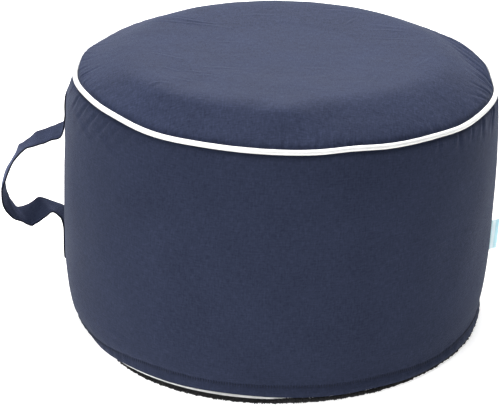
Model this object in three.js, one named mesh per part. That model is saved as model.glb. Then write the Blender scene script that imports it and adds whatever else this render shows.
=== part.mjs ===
// Inflatable pouf: an air-filled drum in a sewn cloth cover, with piped seams,
// a carrying handle on one side and a small cloth tag on the other.
// Millimetres, +Z up. The origin is the middle of the base, on the floor.
// Angles are degrees about +Z from +X: tag at 0, back at 90, handle at 180, front at 270.
import * as THREE from 'three';

// Driving dimensions
const seamHeight = 311; // middle of the top piping above the floor
const seamRadius = 253.5; // middle of the top piping
const topPipingDiameter = 6;
const basePipingDiameter = 5;
const basePipingHeight = 7.6;
const basePipingRadius = 252;
const bodyShift = -3.5; // the filled body sits off the middle of its base, towards the handle
const topLean = 10; // how far the top has then leaned back towards the tag
const topTilt = 0.019; // how much the top falls towards the tag, per millimetre
const hemEdgeHeight = 5; // lowest cloth of the side wall
const hemThickness = 2.2;
const fillUnderside = 11; // underside of the filled drum inside the hem
const baseRadius = 255.6;
const handleWidth = 40;
const handleThickness = 2;
const handleTop = 287; // upper end of the handle's upper tab
const handleFoot = 69; // lower end of the handle's lower tab
const tagHeight = 41;
const tagReach = 14; // how far the tag stands out of the wall
const tagThickness = 1.4;
const tagMiddle = 96; // height of the tag's middle
const tagCurl = 3; // how far the tag's free edge bends to the front
const tagTilt = 2.5; // how far its free edge stands above its root
const handleAngle = 180;
const tagAngle = 0;
const gap = 0.3; // between neighbouring pieces
const fineSides = 180; // points round the gathered cloth beside the seam
const coarseSides = 90; // points round everything else
const footRise = { from: 6, to: 34 }; // heights between which the body moves off its base
const tuckFade = { from: 10, to: 36 }; // heights between which a drawn-in foot ends
const liftFade = { from: 22, to: 80 }; // heights between which a lifted hem ends

// Side wall, from the hem edge up to the seam
const wallSections = [
  { height: 5, radius: 257, sides: coarseSides },
  { height: 12, radius: 258.7, sides: coarseSides },
  { height: 17, radius: 258.5, sides: coarseSides },
  { height: 19.2, radius: 257.1, sides: coarseSides }, // sewn line of the hem
  { height: 21.6, radius: 258.9, sides: coarseSides },
  { height: 34, radius: 260.9, sides: coarseSides },
  { height: 60, radius: 263.7, sides: coarseSides },
  { height: 95, radius: 265.4, sides: coarseSides },
  { height: 135, radius: 266, sides: coarseSides },
  { height: 175, radius: 265.8, sides: coarseSides },
  { height: 215, radius: 264.8, sides: coarseSides },
  { height: 243, radius: 263, sides: coarseSides },
  { height: 264, radius: 261, sides: fineSides },
  { height: 278, radius: 259.3, sides: fineSides },
  { height: 289, radius: 257.8, sides: fineSides },
  { height: 297, radius: 256.7, sides: fineSides },
  { height: 304, radius: 255.2, sides: fineSides },
  { height: 307.6, radius: 251.6, sides: fineSides },
];

// Crown of the top panel: its rise above the seam at each share of the seam's radius
const crownSections = [
  { share: 0.99, rise: 3.4, sides: fineSides },
  { share: 0.975, rise: 6.2, sides: fineSides },
  { share: 0.945, rise: 10.2, sides: fineSides },
  { share: 0.905, rise: 15.4, sides: fineSides },
  { share: 0.85, rise: 21, sides: fineSides },
  { share: 0.785, rise: 26, sides: fineSides },
  { share: 0.71, rise: 30, sides: coarseSides },
  { share: 0.62, rise: 32.4, sides: coarseSides },
  { share: 0.52, rise: 33.2, sides: coarseSides },
  { share: 0.43, rise: 32.6, sides: coarseSides }, // rim of the sunken middle
  { share: 0.37, rise: 31, sides: coarseSides },
  { share: 0.26, rise: 29.8, sides: coarseSides },
  { share: 0.1, rise: 29.3, sides: coarseSides },
];

// Where the seam rides up or down on the bulging cloth
const seamWaves = [
  { at: 207, rise: 2.6, spread: 12 },
  { at: 236, rise: -1.8, spread: 9 },
  { at: 287, rise: 2.4, spread: 7 },
  { at: 322, rise: -2.2, spread: 8 },
];

// Where the hem rides up and shows the base piping, where the whole foot is drawn in,
// and where the base alone is tucked under
const hemLifts = [{ at: 258, rise: 4.6, spread: 34 }];
const footTucks = [{ at: 196, rise: -2.6, spread: 17 }];
const baseTucks = [{ at: 205, rise: -4, spread: 15 }];

// Gathered folds beside the seam: each runs in from the seam by its reach and drifts by its slant
const topGathers = [
  { from: 336, to: 402, count: 9, reach: 74, depth: 3.4, slant: 9 },
  { from: 244, to: 298, count: 8, reach: 40, depth: 2.4, slant: 2 },
  { from: 184, to: 212, count: 5, reach: 46, depth: 2.6, slant: -6 },
  { from: 60, to: 170, count: 14, reach: 42, depth: 2.2, slant: 4 },
];
const wallGathers = [
  { from: 190, to: 226, count: 7, reach: 44, depth: 2.4, slant: 4 },
  { from: 232, to: 262, count: 5, reach: 30, depth: 1.4, slant: 3 },
  { from: 312, to: 354, count: 8, reach: 42, depth: 2.6, slant: -3 },
  { from: 12, to: 166, count: 20, reach: 36, depth: 2, slant: 3 },
];
const gatherSpread = 1.7; // half the width of a fold, in degrees
const gatherRamp = 14; // distance from the seam at which a fold is deepest

// Middle of the handle's free loop: distance from the axis, height, and how far the
// strap's front edge hangs below its back edge
const handleLoop = [
  { out: 268.5, height: 239, drop: 1 },
  { out: 272, height: 232, drop: 6 },
  { out: 279.5, height: 227, drop: 10 },
  { out: 291.5, height: 222, drop: 9 },
  { out: 304.5, height: 216, drop: 7 },
  { out: 316.5, height: 208, drop: 6 },
  { out: 326.5, height: 198, drop: 7 },
  { out: 335.5, height: 184, drop: 7 },
  { out: 342.5, height: 169, drop: 8 },
  { out: 346, height: 155, drop: 6 },
  { out: 346.5, height: 144, drop: 3 },
  { out: 343.5, height: 133, drop: 0 },
  { out: 338, height: 124, drop: 0 },
  { out: 331.5, height: 119, drop: 3 },
  { out: 321.5, height: 117, drop: 11 },
  { out: 310.5, height: 118, drop: 20 },
  { out: 301.5, height: 122, drop: 17 },
  { out: 292.5, height: 124, drop: 8 },
  { out: 283.5, height: 124, drop: 1 },
  { out: 276.5, height: 120, drop: 0 },
  { out: 272.5, height: 112, drop: 0 },
];
const handleTabSteps = 4; // sections along each sewn tab
const handleSteps = 72; // sections along the whole strap

const toRadians = THREE.MathUtils.degToRad;

// Shortest turn from one angle to another, in degrees
function turnBetween(from, to) {
  return THREE.MathUtils.euclideanModulo(to - from + 180, 360) - 180;
}

// Smooth step from 0 to 1 over a span of heights
function rampAt(span, height) {
  return THREE.MathUtils.smoothstep(height, span.from, span.to);
}

// Sum of the soft bumps of a table at an angle
function bumpsAt(table, angle) {
  const heights = table.map((row) => row.rise * Math.exp(-((turnBetween(row.at, angle) / row.spread) ** 2)));
  return heights.reduce((sum, height) => sum + height, 0);
}

// Depth of the gathered folds at an angle and a distance from the seam
function gatherDepth(groups, angle, distance) {
  let depth = 0;
  for (const group of groups) {
    for (let fold = 0; fold < group.count; fold += 1) {
      const uneven = 0.75 + 0.25 * Math.sin(fold * 2.4 + group.from);
      const reach = group.reach * uneven;
      if (distance >= reach) continue;
      const along = distance / reach;
      const middle = group.from + ((group.to - group.from) * fold) / (group.count - 1) + group.slant * along;
      const across = Math.exp(-((turnBetween(middle, angle) / gatherSpread) ** 2));
      const fade = (1 - along) ** 1.3 * Math.min(1, distance / gatherRamp);
      depth += group.depth * uneven * across * fade;
    }
  }
  return depth;
}

// Sideways shift of the pouf's middle at a height
function shiftAt(height) {
  const offBase = bodyShift * rampAt(footRise, height);
  return offBase + topLean * (height / seamHeight) ** 2.2;
}

// Height of the seam above or below its mean at an angle
function seamOffset(angle) {
  return bumpsAt(seamWaves, angle) - topTilt * seamRadius * Math.cos(toRadians(angle));
}

// Point on a round section whose middle has leaned sideways
function roundPoint(angle, radius, shift, height) {
  const turn = toRadians(angle);
  return new THREE.Vector3(shift + radius * Math.cos(turn), radius * Math.sin(turn), height);
}

// Ring of points, one for each angle
function ring(sides, pointAt) {
  return Array.from({ length: sides }, (_, step) => pointAt((step * 360) / sides));
}

// Triangles between two neighbouring rings, where one may have twice the points of the other
function bridge(lower, upper) {
  const triangles = [];
  const steps = Math.min(lower.length, upper.length);
  for (let step = 0; step < steps; step += 1) {
    const next = (step + 1) % steps;
    if (lower.length === upper.length) {
      triangles.push(lower[step], lower[next], upper[next]);
      triangles.push(lower[step], upper[next], upper[step]);
    } else if (lower.length > upper.length) {
      const [start, middle, end] = [lower[2 * step], lower[2 * step + 1], lower[2 * next]];
      triangles.push(start, middle, upper[step]);
      triangles.push(middle, upper[next], upper[step]);
      triangles.push(middle, end, upper[next]);
    } else {
      const [start, middle, end] = [upper[2 * step], upper[2 * step + 1], upper[2 * next]];
      triangles.push(lower[step], middle, start);
      triangles.push(lower[step], lower[next], middle);
      triangles.push(lower[next], end, middle);
    }
  }
  return triangles;
}

// Closed skin through a run of rings, each turning right-handed about the way the run goes.
// The run ends in flat fans, or joins its own start.
function loft(rings, joinsStart = false) {
  const triangles = [];
  const runs = joinsStart ? rings.length : rings.length - 1;
  for (let run = 0; run < runs; run += 1) {
    triangles.push(...bridge(rings[run], rings[(run + 1) % rings.length]));
  }
  if (!joinsStart) {
    triangles.push(...endFan([...rings[0]].reverse()));
    triangles.push(...endFan(rings[rings.length - 1]));
  }
  const geometry = new THREE.BufferGeometry().setFromPoints(triangles);
  geometry.computeVertexNormals();
  return geometry;
}

// Fan of triangles that closes a ring from its middle
function endFan(points) {
  const middle = points.reduce((sum, point) => sum.add(point), new THREE.Vector3());
  middle.divideScalar(points.length);
  return points.flatMap((point, step) => [middle, point, points[(step + 1) % points.length]]);
}

// Point of the side wall at an angle, on one of its sections
function wallPoint(angle, section) {
  const climb = (section.height / seamHeight) ** 4;
  const lift = bumpsAt(hemLifts, angle) * (1 - rampAt(liftFade, section.height));
  const height = section.height + seamOffset(angle) * climb + lift;
  const tuck = bumpsAt(footTucks, angle) * (1 - rampAt(tuckFade, section.height));
  const fold = gatherDepth(wallGathers, angle, seamHeight - section.height);
  return roundPoint(angle, section.radius + tuck - fold, shiftAt(section.height), height);
}

// Point of the crown at an angle, on one of its sections
function crownPoint(angle, section) {
  const distance = seamRadius * (1 - section.share);
  const slope = topTilt * seamRadius * section.share * Math.cos(toRadians(angle));
  const wave = bumpsAt(seamWaves, angle) * section.share ** 6;
  const height = seamHeight + section.rise + wave - slope - gatherDepth(topGathers, angle, distance);
  return roundPoint(angle, seamRadius * section.share, shiftAt(seamHeight), height);
}

// Level at which the cap meets the drum, inside the seam
function meetingRing(lift) {
  const radius = seamRadius - topPipingDiameter / 2 - gap;
  const heightAt = (angle) => seamHeight + seamOffset(angle) + lift;
  return ring(fineSides, (angle) => roundPoint(angle, radius, shiftAt(seamHeight), heightAt(angle)));
}

function topPanel() {
  const crown = crownSections.map((section) => ring(section.sides, (angle) => crownPoint(angle, section)));
  return loft([meetingRing(gap), ...crown]);
}

function sideWall() {
  const inside = wallSections[0].radius - hemThickness;
  const hemInside = ring(coarseSides, (angle) => wallPoint(angle, { height: hemEdgeHeight, radius: inside }));
  const underside = hemInside.map((point) => point.clone().setZ(fillUnderside));
  const outside = wallSections.map((section) => ring(section.sides, (angle) => wallPoint(angle, section)));
  return loft([underside, hemInside, ...outside, meetingRing(-gap)]);
}

// Round cord on a seam: a ring of points for each corner of its section
function piping(diameter, corners, seamPoint) {
  const rings = Array.from({ length: corners }, (_, corner) => {
    const turn = (corner * 2 * Math.PI) / corners - Math.PI;
    const outward = (diameter / 2) * Math.cos(turn);
    const lift = (diameter / 2) * Math.sin(turn);
    return ring(coarseSides, (angle) => seamPoint(angle, outward, lift));
  });
  return loft(rings, true);
}

function topPiping() {
  return piping(topPipingDiameter, 8, (angle, outward, lift) =>
    roundPoint(angle, seamRadius + outward, shiftAt(seamHeight), seamHeight + seamOffset(angle) + lift),
  );
}

// Point of the foot below the hem, drawn in where the foot is
function footPoint(angle, radius, height) {
  return roundPoint(angle, radius + bumpsAt(footTucks, angle), 0, height);
}

function basePiping() {
  return piping(basePipingDiameter, 6, (angle, outward, lift) =>
    footPoint(angle, basePipingRadius + outward, basePipingHeight + lift),
  );
}

// Flat base cloth with a turned edge below the piping, filled up to the underside of the drum
function basePanel() {
  const pipingFoot = basePipingHeight - basePipingDiameter / 2 - gap;
  const plugRadius = basePipingRadius - basePipingDiameter / 2 - gap;
  const edge = [
    { height: 0, inset: 4.2 },
    { height: 0.7, inset: 1 },
    { height: 2.4, inset: 0 },
    { height: pipingFoot - 0.6, inset: 1 },
    { height: pipingFoot, inset: 3 },
  ];
  const edgeRings = edge.map(({ height, inset }) =>
    ring(coarseSides, (angle) => footPoint(angle, baseRadius - inset + bumpsAt(baseTucks, angle), height)),
  );
  const plugRings = [pipingFoot, fillUnderside - gap].map((height) =>
    ring(coarseSides, (angle) => footPoint(angle, plugRadius, height)),
  );
  return loft([...edgeRings, ...plugRings]);
}

// Distance of the wall from the axis at an angle and a height
function wallReach(angle, height) {
  const points = wallSections.map((section) => wallPoint(angle, section));
  const above = points.findIndex((point) => point.z >= height);
  const [low, high] = [points[above - 1], points[above]];
  const share = (height - low.z) / (high.z - low.z);
  return Math.abs(THREE.MathUtils.lerp(low.x, high.x, share));
}

// Rows along a tab that lies on the wall between two heights
function handleTab(from, to) {
  return Array.from({ length: handleTabSteps }, (_, step) => {
    const height = from + ((to - from) * step) / handleTabSteps;
    return { out: wallReach(handleAngle, height) + handleThickness / 2 + 2 * gap, height, drop: 0 };
  });
}

// Flat strap: an upper tab on the wall, a free hanging loop and a lower tab
function handleStrap() {
  const [first, last] = [handleLoop[0], handleLoop[handleLoop.length - 1]];
  const lowerTab = handleTab(handleFoot, last.height).reverse();
  const rows = [...handleTab(handleTop, first.height), ...handleLoop, ...lowerTab];
  const knots = rows.map((row) => new THREE.Vector3(-row.out, row.drop, row.height));
  const route = new THREE.CatmullRomCurve3(knots);
  const sections = Array.from({ length: handleSteps + 1 }, (_, step) => {
    const place = route.getPoint(step / handleSteps);
    const along = route.getTangent(step / handleSteps).setY(0).normalize();
    const across = new THREE.Vector3(0, handleWidth, place.y).normalize();
    const through = new THREE.Vector3().crossVectors(along, across).normalize();
    return strapSection(place.setY(0), across, through);
  });
  return loft(sections);
}

// Six-sided section of the strap with softened edges
function strapSection(middle, across, through) {
  const halfWidth = handleWidth / 2;
  const halfThickness = handleThickness / 2;
  const flat = halfWidth - halfThickness / 2;
  const corners = [
    { side: halfWidth, lift: 0 },
    { side: flat, lift: halfThickness },
    { side: -flat, lift: halfThickness },
    { side: -halfWidth, lift: 0 },
    { side: -flat, lift: -halfThickness },
    { side: flat, lift: -halfThickness },
  ];
  return corners.map(({ side, lift }) =>
    middle.clone().addScaledVector(across, side).addScaledVector(through, lift),
  );
}

// Folded cloth tag that stands out of the wall, curling a little to the front
function sideTag() {
  const steps = 4;
  const rootLow = tagMiddle - tagHeight / 2;
  const sections = Array.from({ length: steps + 1 }, (_, step) => {
    const share = step / steps;
    const low = rootLow + tagTilt * share;
    const high = low + tagHeight;
    const front = -tagCurl * share ** 2 - tagThickness / 2;
    const back = front + tagThickness;
    const corners = [
      { side: back, height: low },
      { side: back, height: high },
      { side: front, height: high },
      { side: front, height: low },
    ];
    return corners.map(({ side, height }) => {
      const root = wallReach(tagAngle, height) + gap;
      return new THREE.Vector3(root + tagReach * share, side, height);
    });
  });
  return loft(sections);
}

const navyCloth = { color: 0x3d4459, roughness: 0.85, metalness: 0 };
const whiteCord = { color: 0xeeeeea, roughness: 0.8, metalness: 0 };
const blackCloth = { color: 0x1b1b1e, roughness: 0.9, metalness: 0 };
const paleBlueTape = { color: 0xb9dce4, roughness: 0.75, metalness: 0 };

const pieces = [
  { name: 'top_panel', geometry: topPanel(), finish: navyCloth },
  { name: 'top_piping', geometry: topPiping(), finish: whiteCord },
  { name: 'side_wall', geometry: sideWall(), finish: navyCloth },
  { name: 'base_piping', geometry: basePiping(), finish: whiteCord },
  { name: 'base_panel', geometry: basePanel(), finish: blackCloth },
  { name: 'handle_strap', geometry: handleStrap(), finish: navyCloth },
  { name: 'side_tag', geometry: sideTag(), finish: paleBlueTape },
];

const pouf = new THREE.Group();
for (const { name, geometry, finish } of pieces) {
  const piece = new THREE.Mesh(geometry, new THREE.MeshStandardMaterial(finish));
  piece.name = name;
  pouf.add(piece);
}

export default pouf;
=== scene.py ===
# Inflatable pouf: a cloth cover blown tight by air, with piped seams, a strap handle, a tag and a black base
import bpy
import math
import numpy as np
from mathutils import Matrix, Vector


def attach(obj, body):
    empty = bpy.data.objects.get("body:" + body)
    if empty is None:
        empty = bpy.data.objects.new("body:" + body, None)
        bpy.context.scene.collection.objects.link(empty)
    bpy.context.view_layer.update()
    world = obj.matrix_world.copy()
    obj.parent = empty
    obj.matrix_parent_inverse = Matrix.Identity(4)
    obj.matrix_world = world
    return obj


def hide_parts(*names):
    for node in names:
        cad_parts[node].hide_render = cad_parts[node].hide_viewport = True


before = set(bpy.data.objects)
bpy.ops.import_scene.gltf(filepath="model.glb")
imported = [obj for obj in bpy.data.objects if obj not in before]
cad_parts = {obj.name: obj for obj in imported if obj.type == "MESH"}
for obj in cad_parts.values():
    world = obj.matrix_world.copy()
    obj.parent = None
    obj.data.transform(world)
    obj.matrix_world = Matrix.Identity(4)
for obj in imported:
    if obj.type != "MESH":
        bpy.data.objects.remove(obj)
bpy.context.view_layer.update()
scene = bpy.context.scene
mm = 0.001  # shapes are in millimetres and degrees; finishes, camera and studio in metres
print("frame loaded:", len(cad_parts), "nodes")


# Helpers for objects and node trees
def addPiece(name, data):
    piece = bpy.data.objects.new(name, data)
    scene.collection.objects.link(piece)
    return piece


def setSockets(tree, node, values):
    for socket, value in values.items():
        if isinstance(value, bpy.types.NodeSocket):
            tree.links.new(value, node.inputs[socket])
        else:
            node.inputs[socket].default_value = value


def addNode(tree, kind, values=None, **settings):
    node = tree.nodes.new(kind)
    for name, value in settings.items():
        setattr(node, name, value)
    setSockets(tree, node, values or {})
    return node


# A node's output, where only that is needed
def outOf(tree, kind, values=None, output=0, **settings):
    return addNode(tree, kind, values, **settings).outputs[output]


def addMath(tree, operation, first, second=0.0, third=0.0):
    return outOf(tree, "ShaderNodeMath", {0: first, 1: second, 2: third}, operation=operation)


def vectorMath(tree, operation, values, output=0):
    return outOf(tree, "ShaderNodeVectorMath", values, output, operation=operation)


# Sum of patterns, each times its weight
def mixOf(tree, total, *terms):
    for pattern, weight in terms:
        total = addMath(tree, "MULTIPLY_ADD", pattern, weight, total)
    return total


def smoothRange(tree, value, start, end, low=0.0, high=1.0):
    values = {"Value": value, "From Min": start, "From Max": end, "To Min": low, "To Max": high}
    return outOf(tree, "ShaderNodeMapRange", values, interpolation_type="SMOOTHSTEP")


# Camera, fitted to the photo
cameraView = {
    "place": (0.0065, -1.8544, 0.976),
    "aim": (-0.0363, 0.0, 0.1374),
    "roll": 0.22,
    "lens": 116.9,
    "sensor": 36.0,
    "clip": (0.05, 60.0),
}


def addCamera(view):
    data = bpy.data.cameras.new("photoCamera")
    data.sensor_fit = "HORIZONTAL"
    data.sensor_width = view["sensor"]
    data.lens = view["lens"]
    data.clip_start, data.clip_end = view["clip"]
    camera = addPiece("photoCamera", data)
    aim = Vector(view["aim"]) - Vector(view["place"])
    turn = aim.to_track_quat("-Z", "Y").to_matrix().to_4x4()
    roll = Matrix.Rotation(math.radians(view["roll"]), 4, "Z")
    camera.matrix_world = Matrix.Translation(view["place"]) @ turn @ roll
    scene.camera = camera


addCamera(cameraView)
print("camera placed")


# Helpers for meshes
def makeMesh(name, points, faces, uvs, material):
    mesh = bpy.data.meshes.new(name)
    mesh.from_pydata((np.asarray(points) * mm).tolist(), [], faces)
    layer = mesh.uv_layers.new(name="clothUv")
    layer.data.foreach_set("uv", (np.asarray(uvs) * mm).astype(np.float32).ravel())
    mesh.polygons.foreach_set("use_smooth", np.ones(len(mesh.polygons), dtype=bool))
    mesh.materials.append(material)
    mesh.validate()
    mesh.update()
    return mesh


# Skin over rings, each with its cloth places; a ring may have half or twice the points of the one before it
def skinPiece(name, sections, material, wrapUv=(0.0, 0.0), closed=True):
    rings, ringUvs = zip(*sections)
    starts = np.cumsum([0] + [len(ring) for ring in rings])
    faces = []
    uvs = []
    for run in range(len(rings) - 1):
        low, high = len(rings[run]), len(rings[run + 1])
        sides = min(low, high)
        lowStep, highStep = low // sides, high // sides
        for side in range(sides):
            corners = [(run, side * lowStep + more) for more in range(lowStep + 1)]
            corners += [(run + 1, side * highStep + more) for more in range(highStep, -1, -1)]
            face = []
            for ring, spot in corners:
                turn, spot = divmod(spot, len(rings[ring]))
                face.append(int(starts[ring] + spot))
                uvs.append(ringUvs[ring][spot] + turn * np.asarray(wrapUv))
            faces.append(face)
    points = np.concatenate(rings)
    for end, start in ((0, starts[0]), (-1, starts[-2])) if closed else ():
        ring, uv = rings[end], ringUvs[end]
        middle = len(points)
        points = np.concatenate([points, ring.mean(0)[None]])
        for side in range(len(ring)):
            far = (side + 1) % len(ring)
            first, last = (side, far) if end else (far, side)
            faces.append([middle, int(start + first), int(start + last)])
            uvs.extend([uv.mean(0), uv[first], uv[last]])
    return addPiece(name, makeMesh(name, points, faces, uvs, material))


# Rows of points from their columns; a plain number fills its column
def asRows(*columns):
    return np.stack(np.broadcast_arrays(*columns), axis=1)


def anglesRound(count):
    return np.arange(count) * 360.0 / count


def roundAxis(angle, radius):
    turn = np.radians(angle)
    return radius * np.cos(turn), radius * np.sin(turn)


def turnFrom(angle, at):
    return (angle - at + 180.0) % 360.0 - 180.0


def ramp(value, low, high):
    share = np.clip((value - low) / (high - low), 0.0, 1.0)
    return share * share * (3.0 - 2.0 * share)


# Fades in over one stretch and out over another
def between(value, start, full, fade, end):
    return ramp(value, start, full) * (1.0 - ramp(value, fade, end))


def bell(away, spread):
    return np.exp(-((away / spread) ** 2))


def bumps(rows, angle):
    total = np.zeros_like(angle)
    for at, rise, spread in rows:
        total += rise * bell(turnFrom(angle, at), spread)
    return total


# Bumps that also fade with the distance from a place
def swellAt(rows, angle, place):
    total = np.zeros_like(angle)
    for at, spread, middle, reach, rise in rows:
        total += rise * bell(turnFrom(angle, at), spread) * bell(place - middle, reach)
    return total


# Smooth curve through table rows that never swings past them
def curveThrough(xs, ys, at):
    steps = np.diff(xs)
    slopes = np.diff(ys) / steps
    both = slopes[:-1] * slopes[1:]
    total = np.where(both > 0, slopes[:-1] + slopes[1:], 1.0)
    tangents = np.concatenate([slopes[:1], np.where(both > 0, 2.0 * both / total, 0.0), slopes[-1:]])
    cell = np.clip(np.searchsorted(xs, at, side="right") - 1, 0, len(steps) - 1)
    share = (at - xs[cell]) / steps[cell]
    rest = 1.0 - share
    ends = ys[cell] * (1 + 2 * share) * rest**2 + ys[cell + 1] * (1 + 2 * rest) * share**2
    return ends + steps[cell] * share * rest * (tangents[cell] * rest - tangents[cell + 1] * share)


# Distance of each table row along its path
def pathLengths(rows):
    return np.concatenate([[0.0], np.cumsum(np.linalg.norm(np.diff(rows[:, :2], axis=0), axis=1))])


def pathAt(rows, distance):
    lengths = pathLengths(rows)
    return np.stack([curveThrough(lengths, column, distance) for column in rows.T], axis=-1)


# Sizes that the pieces of the cover share, as in the part's solids
cover = {
    "seamHeight": 311.0,
    "seamRadius": 253.5,
    "wallRadius": 265.0,  # for lengths round the wall
    "bodyShift": -3.5,  # the filled body sits off the middle of its base
    "topLean": 10.0,  # and leans back the other way towards the top
    "leanCurve": 2.2,
    "topTilt": 0.019,
    "footRise": (6.0, 34.0),
    # angle, rise, spread
    "seamWaves": [(206, 4.2, 14), (221.5, 1.5, 7), (237, -1.5, 9), (287, 2.4, 7), (322, -2.2, 8)],
    # angle, distance, spread: where the seam is drawn in, and how far the foot stands out
    "seamPulls": [(359.5, 2.8, 7.5)],
    "footTucks": [(190, -1.4, 13), (204, -2.9, 10), (318, -2.0, 15), (345, -1.2, 20)],
}


def shiftAt(height):
    lean = (np.maximum(height, 0.0) / cover["seamHeight"]) ** cover["leanCurve"]
    return cover["bodyShift"] * ramp(height, *cover["footRise"]) + cover["topLean"] * lean


def seamLift(angle):
    tilt = cover["topTilt"] * cover["seamRadius"] * np.cos(np.radians(angle))
    return bumps(cover["seamWaves"], angle) - tilt


def wallArc(angle):
    return np.radians(angle) * cover["wallRadius"]


# Gathered folds: each runs in from the seam, drifts by its slant, dips and rolls up on both sides
def foldDepth(folds, angle, inward, radius):
    depth = np.zeros_like(angle)
    for at, reach, slant, dip, width in folds:
        along = np.clip(inward / reach, 0.0, 1.0)
        across = np.radians(turnFrom(angle, at + slant * along)) * radius
        across = across / np.hypot(1.0, np.radians(slant) * radius / reach)
        spread = width * (0.6 + 0.9 * along)
        fade = (1.0 - along) ** 1.3 * ramp(inward, -1.0, 9.0)
        rolls = bell(np.abs(across) - 2.0 * spread, 1.2 * spread)
        depth += dip * fade * (bell(across, spread) - 0.42 * rolls)
    return depth


# Adds folds for the stretches of the seam that the photo doesn't single out
def addScattered(table):
    chance = np.random.default_rng(table["seed"])
    for start, end, count, reach, slant, dip, width in table["scattered"]:
        for fold in range(count):
            at = start + (end - start) * (fold + chance.uniform(0.15, 0.85)) / count
            size = chance.uniform(0.55, 1.2)
            drift = slant + chance.uniform(-4, 4)
            spread = width * chance.uniform(0.8, 1.25)
            table["folds"].append((at, reach * size, drift, dip * size, spread))


# Loose creases: a low ridge with a dip beside it, from one point to another
def creaseLift(creases, first, second):
    lift = np.zeros_like(first)
    for startA, startB, endA, endB, height, width in creases:
        run = np.array([endA - startA, endB - startB], float)
        length = np.hypot(*run)
        run /= length
        along = ((first - startA) * run[0] + (second - startB) * run[1]) / length
        across = (second - startB) * run[0] - (first - startA) * run[1]
        across = across + 0.6 * width * np.sin(along * 5.0 + startA)
        fade = np.clip(4.0 * along * (1.0 - along), 0.0, 1.0) ** 0.7
        lift += height * fade * (bell(across, width) - 0.75 * bell(across - 1.7 * width, width))
    return lift


# Slow unevenness of hand-sewn cloth, the same on every run
def uneven(seed, angle, distance, size):
    chance = np.random.default_rng(seed)
    total = np.zeros_like(angle)
    for wave in range(14):
        turns = chance.integers(2, 26)
        climb = chance.uniform(-0.05, 0.05)
        phase = chance.uniform(0, 6.3)
        total += np.sin(np.radians(angle * turns) + climb * distance + phase) / (1 + 0.1 * turns)
    return size * total / 3.0


# Materials: each has a function that makes its nodes and says what goes into the shader's sockets
def makeMaterial(name, paint, *finish):
    material = bpy.data.materials.new(name)
    material.use_nodes = True
    tree = material.node_tree
    setSockets(tree, tree.nodes["Principled BSDF"], paint(tree, *finish))
    return material


def clothPlace(tree):
    return outOf(tree, "ShaderNodeUVMap", uv_map="clothUv")


def objectPlace(tree):
    return outOf(tree, "ShaderNodeTexCoord", output="Object")


# Height of the crossing threads, and which of the two lies on top
def threadPattern(tree, place, pitch, drift):
    wander = outOf(tree, "ShaderNodeTexNoise", {"Vector": place, "Scale": 90.0, "Detail": 2.0}, "Color")
    centred = vectorMath(tree, "SUBTRACT", {0: wander, 1: (0.5, 0.5, 0.5)})
    bent = vectorMath(tree, "MULTIPLY_ADD", {0: centred, 1: (drift, drift, drift), 2: place})
    scaled = vectorMath(tree, "SCALE", {0: bent, "Scale": math.pi / pitch})
    parts = addNode(tree, "ShaderNodeSeparateXYZ", {0: scaled}).outputs
    crossing = addMath(tree, "MULTIPLY", addMath(tree, "SINE", parts[0]), addMath(tree, "SINE", parts[1]))
    return addMath(tree, "ABSOLUTE", crossing), addMath(tree, "GREATER_THAN", crossing, 0.0)


# Rounded ribs from 0 to 1
def ribPattern(tree, along, pitch):
    wave = addMath(tree, "SINE", addMath(tree, "MULTIPLY", along, 2.0 * math.pi / pitch))
    return mixOf(tree, 0.5, (wave, 0.5))


def noiseOn(tree, place, scale, stretch=(1.0, 1.0, 1.0), detail=3.0):
    mapped = outOf(tree, "ShaderNodeMapping", {"Vector": place, "Scale": stretch})
    return outOf(tree, "ShaderNodeTexNoise", {"Vector": mapped, "Scale": scale, "Detail": detail})


def rampColour(tree, factor, *stops):
    node = addNode(tree, "ShaderNodeValToRGB", {0: factor})
    node.color_ramp.interpolation = "EASE"
    edges = node.color_ramp.elements
    while len(edges) < len(stops):
        edges.new(0.5)
    for edge, (position, colour) in zip(edges, stops):
        edge.position = position
        edge.color = (*colour, 1.0)
    return node.outputs[0]


def addBump(tree, height, strength, distance, under=None):
    values = {"Height": height, "Strength": strength, "Distance": distance}
    if under is not None:
        values["Normal"] = under
    return outOf(tree, "ShaderNodeBump", values)


navyFinish = {
    "threadPitch": 0.00062,
    "tone": 1.0,
    "dark": (0.0194, 0.0247, 0.0482),
    "middle": (0.0263, 0.0331, 0.0629),
    "light": (0.0342, 0.0426, 0.0791),
    "gloss": 0.035,
    "sheen": 0.06,
    "sheenRoughness": 0.35,
    "sheenTint": (0.78, 0.84, 1.0, 1.0),
    "crumple": 0.30,
    "edgeDyeAndShadeEvery": 0.0,
}
# the top is stretched less than the wall, so it is more crumpled
topFinish = {
    **navyFinish,
    "dark": (0.0176, 0.0224, 0.0454),
    "middle": (0.0265, 0.0334, 0.0645),
    "light": (0.0370, 0.0462, 0.0870),
    "crumple": 0.36,
}
# the strap has a turned edge on both sides of its width, drawn darker: partly the dye of the fold, partly
# painted shade along it
strapFinish = {
    **navyFinish,
    "tone": 0.78,
    "gloss": 0.012,
    "sheen": 0.22,
    "sheenTint": (0.5, 0.58, 0.95, 1.0),
    "edgeDyeAndShadeEvery": 0.04,
}


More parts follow.
